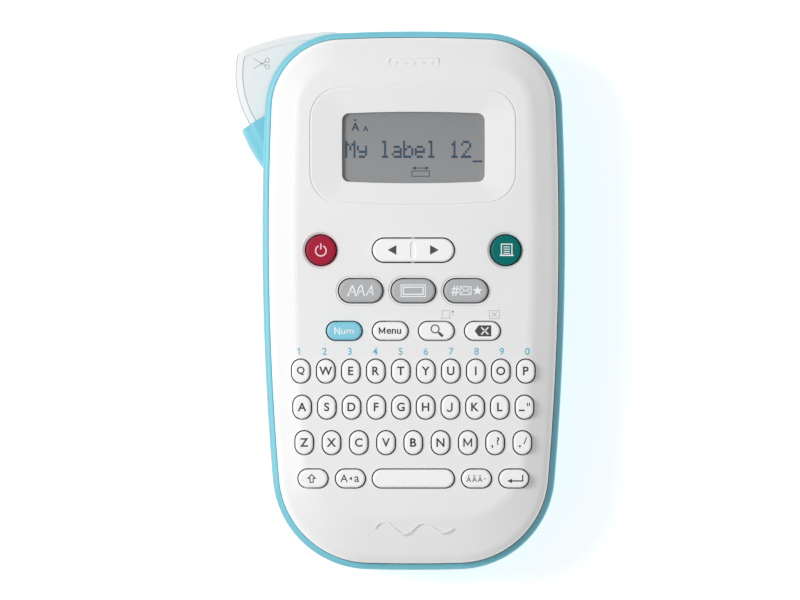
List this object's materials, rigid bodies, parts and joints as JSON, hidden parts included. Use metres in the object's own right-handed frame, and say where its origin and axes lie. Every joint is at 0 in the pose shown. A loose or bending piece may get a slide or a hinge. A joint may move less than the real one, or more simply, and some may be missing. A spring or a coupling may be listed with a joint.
{
  "type": "label maker",
  "caption": "Handheld electronic label maker with a display, a full letter keypad, a tape cassette bay and a thumb-operated tape cutter on one corner.",
  "frame": {"origin": "middle of the flat back, on the face that it rests on", "axes": "+X to the right, +Y toward the display end, +Z out of the keypad"},
  "size_m": [0.126, 0.2054, 0.0557],
  "materials": {
    "shell_white": "satin",
    "shell_turquoise": "satin",
    "lever_frost": "frosted, slightly translucent",
    "key_white": "satin",
    "key_grey": "satin",
    "key_turquoise": "satin",
    "key_red": "satin",
    "key_green": "satin",
    "display": "flat grey reflective display",
    "mat_rubber": "matt silicone",
    "board_green": "solder resist",
    "head_metal": "plain",
    "roller_rubber": "matt",
    "motor_steel": "plain",
    "pinion_brass": "plain",
    "blade_steel": "ground",
    "cassette_smoke": "smoke grey",
    "cell_sleeve": "gloss sleeve",
    "contact_steel": "nickel plated",
    "screw_steel": "plain"
  },
  "bodies": {
    "shell": {"front_cover": "shell_white", "rear_case": "shell_turquoise", "lcd_module": "display", "keypad_mat": "mat_rubber", "main_board": "board_green", "print_head": "head_metal", "drive_motor": "motor_steel", "tape_cassette": "cassette_smoke", "batteries": "cell_sleeve", "battery_contacts": "contact_steel", "case_screws": "screw_steel"},
    "lever": {"cutter_lever": "lever_frost", "cutter_blade": "blade_steel"},
    "lid": {"rear_cover": "shell_turquoise"},
    "platen": {"platen_roller": "roller_rubber"},
    "pinion": {"motor_pinion": "pinion_brass"},
    "cursor": {"key_cursor": "key_grey"},
    "button_power": {"key_power": "key_red"},
    "button_print": {"key_print": "key_green"},
    "button_style": {"key_style": "key_grey"},
    "button_frame": {"key_frame": "key_grey"},
    "button_symbol": {"key_symbol": "key_grey"},
    "button_num": {"key_num": "key_turquoise"},
    "button_menu": {"key_menu": "key_white"},
    "button_search": {"key_search": "key_white"},
    "button_delete": {"key_delete": "key_white"},
    "button_q": {"key_q": "key_white"},
    "button_w": {"key_w": "key_white"},
    "button_e": {"key_e": "key_white"},
    "button_r": {"key_r": "key_white"},
    "button_t": {"key_t": "key_white"},
    "button_y": {"key_y": "key_white"},
    "button_u": {"key_u": "key_white"},
    "button_i": {"key_i": "key_white"},
    "button_o": {"key_o": "key_white"},
    "button_p": {"key_p": "key_white"},
    "button_a": {"key_a": "key_white"},
    "button_s": {"key_s": "key_white"},
    "button_d": {"key_d": "key_white"},
    "button_f": {"key_f": "key_white"},
    "button_g": {"key_g": "key_white"},
    "button_h": {"key_h": "key_white"},
    "button_j": {"key_j": "key_white"},
    "button_k": {"key_k": "key_white"},
    "button_l": {"key_l": "key_white"},
    "button_dash": {"key_dash": "key_white"},
    "button_z": {"key_z": "key_white"},
    "button_x": {"key_x": "key_white"},
    "button_c": {"key_c": "key_white"},
    "button_v": {"key_v": "key_white"},
    "button_b": {"key_b": "key_white"},
    "button_n": {"key_n": "key_white"},
    "button_m": {"key_m": "key_white"},
    "button_comma": {"key_comma": "key_white"},
    "button_period": {"key_period": "key_white"},
    "button_shift": {"key_shift": "key_white"},
    "button_caps": {"key_caps": "key_white"},
    "button_accent": {"key_accent": "key_white"},
    "button_enter": {"key_enter": "key_white"},
    "button_space": {"key_space": "key_white"}
  },
  "joints": [
    {"name": "cutter_press", "type": "hinge", "parent": "shell", "child": "lever", "pos_m": [-0.0313, 0.0865, 0.018], "axis": [0, 0, 1], "range_deg": [0, 12], "stiffness_Nm_per_rad": 0.5, "springref_deg": -20.05},
    {"name": "cover_lift_off", "type": "slide", "parent": "shell", "child": "lid", "axis": [0, 0, -1], "range_m": [0, 0.04]},
    {"name": "platen_turn", "type": "hinge", "parent": "shell", "child": "platen", "pos_m": [-0.04387, 0.08402, 0.012], "axis": [0, 0, 1], "continuous": true},
    {"name": "pinion_turn", "type": "hinge", "parent": "shell", "child": "pinion", "pos_m": [-0.03957, 0.07658, 0.03], "axis": [0, 0, 1], "continuous": true},
    {"name": "cursor_rock", "type": "hinge", "parent": "shell", "child": "cursor", "pos_m": [0, 0.01915, 0.05], "axis": [0, 1, 0], "range_deg": [-2.5, 2.5], "stiffness_Nm_per_rad": 0.3},
    {"name": "power_press", "type": "slide", "parent": "shell", "child": "button_power", "axis": [0, 0, -1], "range_m": [0, 0.0012], "stiffness_N_per_m": 800, "springref_m": -0.0005},
    {"name": "print_press", "type": "slide", "parent": "shell", "child": "button_print", "axis": [0, 0, -1], "range_m": [0, 0.0012], "stiffness_N_per_m": 800, "springref_m": -0.0005},
    {"name": "space_press", "type": "slide", "parent": "shell", "child": "button_space", "axis": [0, 0, -1], "range_m": [0, 0.0012], "stiffness_N_per_m": 1200, "springref_m": -0.0005},
    {"name": "enter_press", "type": "slide", "parent": "shell", "child": "button_enter", "axis": [0, 0, -1], "range_m": [0, 0.0012], "stiffness_N_per_m": 800, "springref_m": -0.0005},
    {"name": "style_press", "type": "slide", "parent": "shell", "child": "button_style", "axis": [0, 0, -1], "range_m": [0, 0.0012], "stiffness_N_per_m": 800, "springref_m": -0.0005},
    {"name": "menu_press", "type": "slide", "parent": "shell", "child": "button_menu", "axis": [0, 0, -1], "range_m": [0, 0.0012], "stiffness_N_per_m": 800, "springref_m": -0.0005},
    {"name": "num_press", "type": "slide", "parent": "shell", "child": "button_num", "axis": [0, 0, -1], "range_m": [0, 0.0012], "stiffness_N_per_m": 800, "springref_m": -0.0005},
    {"name": "frame_press", "type": "slide", "parent": "shell", "child": "button_frame", "axis": [0, 0, -1], "range_m": [0, 0.0012], "stiffness_N_per_m": 800, "springref_m": -0.0005},
    {"name": "symbol_press", "type": "slide", "parent": "shell", "child": "button_symbol", "axis": [0, 0, -1], "range_m": [0, 0.0012], "stiffness_N_per_m": 800, "springref_m": -0.0005},
    {"name": "search_press", "type": "slide", "parent": "shell", "child": "button_search", "axis": [0, 0, -1], "range_m": [0, 0.0012], "stiffness_N_per_m": 800, "springref_m": -0.0005},
    {"name": "delete_press", "type": "slide", "parent": "shell", "child": "button_delete", "axis": [0, 0, -1], "range_m": [0, 0.0012], "stiffness_N_per_m": 800, "springref_m": -0.0005},
    {"name": "q_press", "type": "slide", "parent": "shell", "child": "button_q", "axis": [0, 0, -1], "range_m": [0, 0.0012], "stiffness_N_per_m": 800, "springref_m": -0.0005},
    {"name": "w_press", "type": "slide", "parent": "shell", "child": "button_w", "axis": [0, 0, -1], "range_m": [0, 0.0012], "stiffness_N_per_m": 800, "springref_m": -0.0005},
    {"name": "e_press", "type": "slide", "parent": "shell", "child": "button_e", "axis": [0, 0, -1], "range_m": [0, 0.0012], "stiffness_N_per_m": 800, "springref_m": -0.0005},
    {"name": "r_press", "type": "slide", "parent": "shell", "child": "button_r", "axis": [0, 0, -1], "range_m": [0, 0.0012], "stiffness_N_per_m": 800, "springref_m": -0.0005},
    {"name": "t_press", "type": "slide", "parent": "shell", "child": "button_t", "axis": [0, 0, -1], "range_m": [0, 0.0012], "stiffness_N_per_m": 800, "springref_m": -0.0005},
    {"name": "y_press", "type": "slide", "parent": "shell", "child": "button_y", "axis": [0, 0, -1], "range_m": [0, 0.0012], "stiffness_N_per_m": 800, "springref_m": -0.0005},
    {"name": "u_press", "type": "slide", "parent": "shell", "child": "button_u", "axis": [0, 0, -1], "range_m": [0, 0.0012], "stiffness_N_per_m": 800, "springref_m": -0.0005},
    {"name": "i_press", "type": "slide", "parent": "shell", "child": "button_i", "axis": [0, 0, -1], "range_m": [0, 0.0012], "stiffness_N_per_m": 800, "springref_m": -0.0005},
    {"name": "o_press", "type": "slide", "parent": "shell", "child": "button_o", "axis": [0, 0, -1], "range_m": [0, 0.0012], "stiffness_N_per_m": 800, "springref_m": -0.0005},
    {"name": "p_press", "type": "slide", "parent": "shell", "child": "button_p", "axis": [0, 0, -1], "range_m": [0, 0.0012], "stiffness_N_per_m": 800, "springref_m": -0.0005},
    {"name": "a_press", "type": "slide", "parent": "shell", "child": "button_a", "axis": [0, 0, -1], "range_m": [0, 0.0012], "stiffness_N_per_m": 800, "springref_m": -0.0005},
    {"name": "s_press", "type": "slide", "parent": "shell", "child": "button_s", "axis": [0, 0, -1], "range_m": [0, 0.0012], "stiffness_N_per_m": 800, "springref_m": -0.0005},
    {"name": "d_press", "type": "slide", "parent": "shell", "child": "button_d", "axis": [0, 0, -1], "range_m": [0, 0.0012], "stiffness_N_per_m": 800, "springref_m": -0.0005},
    {"name": "f_press", "type": "slide", "parent": "shell", "child": "button_f", "axis": [0, 0, -1], "range_m": [0, 0.0012], "stiffness_N_per_m": 800, "springref_m": -0.0005},
    {"name": "g_press", "type": "slide", "parent": "shell", "child": "button_g", "axis": [0, 0, -1], "range_m": [0, 0.0012], "stiffness_N_per_m": 800, "springref_m": -0.0005},
    {"name": "h_press", "type": "slide", "parent": "shell", "child": "button_h", "axis": [0, 0, -1], "range_m": [0, 0.0012], "stiffness_N_per_m": 800, "springref_m": -0.0005},
    {"name": "j_press", "type": "slide", "parent": "shell", "child": "button_j", "axis": [0, 0, -1], "range_m": [0, 0.0012], "stiffness_N_per_m": 800, "springref_m": -0.0005},
    {"name": "k_press", "type": "slide", "parent": "shell", "child": "button_k", "axis": [0, 0, -1], "range_m": [0, 0.0012], "stiffness_N_per_m": 800, "springref_m": -0.0005},
    {"name": "l_press", "type": "slide", "parent": "shell", "child": "button_l", "axis": [0, 0, -1], "range_m": [0, 0.0012], "stiffness_N_per_m": 800, "springref_m": -0.0005},
    {"name": "dash_press", "type": "slide", "parent": "shell", "child": "button_dash", "axis": [0, 0, -1], "range_m": [0, 0.0012], "stiffness_N_per_m": 800, "springref_m": -0.0005},
    {"name": "z_press", "type": "slide", "parent": "shell", "child": "button_z", "axis": [0, 0, -1], "range_m": [0, 0.0012], "stiffness_N_per_m": 800, "springref_m": -0.0005},
    {"name": "x_press", "type": "slide", "parent": "shell", "child": "button_x", "axis": [0, 0, -1], "range_m": [0, 0.0012], "stiffness_N_per_m": 800, "springref_m": -0.0005},
    {"name": "c_press", "type": "slide", "parent": "shell", "child": "button_c", "axis": [0, 0, -1], "range_m": [0, 0.0012], "stiffness_N_per_m": 800, "springref_m": -0.0005},
    {"name": "v_press", "type": "slide", "parent": "shell", "child": "button_v", "axis": [0, 0, -1], "range_m": [0, 0.0012], "stiffness_N_per_m": 800, "springref_m": -0.0005},
    {"name": "b_press", "type": "slide", "parent": "shell", "child": "button_b", "axis": [0, 0, -1], "range_m": [0, 0.0012], "stiffness_N_per_m": 800, "springref_m": -0.0005},
    {"name": "n_press", "type": "slide", "parent": "shell", "child": "button_n", "axis": [0, 0, -1], "range_m": [0, 0.0012], "stiffness_N_per_m": 800, "springref_m": -0.0005},
    {"name": "m_press", "type": "slide", "parent": "shell", "child": "button_m", "axis": [0, 0, -1], "range_m": [0, 0.0012], "stiffness_N_per_m": 800, "springref_m": -0.0005},
    {"name": "comma_press", "type": "slide", "parent": "shell", "child": "button_comma", "axis": [0, 0, -1], "range_m": [0, 0.0012], "stiffness_N_per_m": 800, "springref_m": -0.0005},
    {"name": "period_press", "type": "slide", "parent": "shell", "child": "button_period", "axis": [0, 0, -1], "range_m": [0, 0.0012], "stiffness_N_per_m": 800, "springref_m": -0.0005},
    {"name": "shift_press", "type": "slide", "parent": "shell", "child": "button_shift", "axis": [0, 0, -1], "range_m": [0, 0.0012], "stiffness_N_per_m": 800, "springref_m": -0.0005},
    {"name": "caps_press", "type": "slide", "parent": "shell", "child": "button_caps", "axis": [0, 0, -1], "range_m": [0, 0.0012], "stiffness_N_per_m": 800, "springref_m": -0.0005},
    {"name": "accent_press", "type": "slide", "parent": "shell", "child": "button_accent", "axis": [0, 0, -1], "range_m": [0, 0.0012], "stiffness_N_per_m": 800, "springref_m": -0.0005}
  ],
  "couplings": [
    {"joint": "pinion_turn", "follows": "platen_turn", "ratio": -2.4}
  ]
}
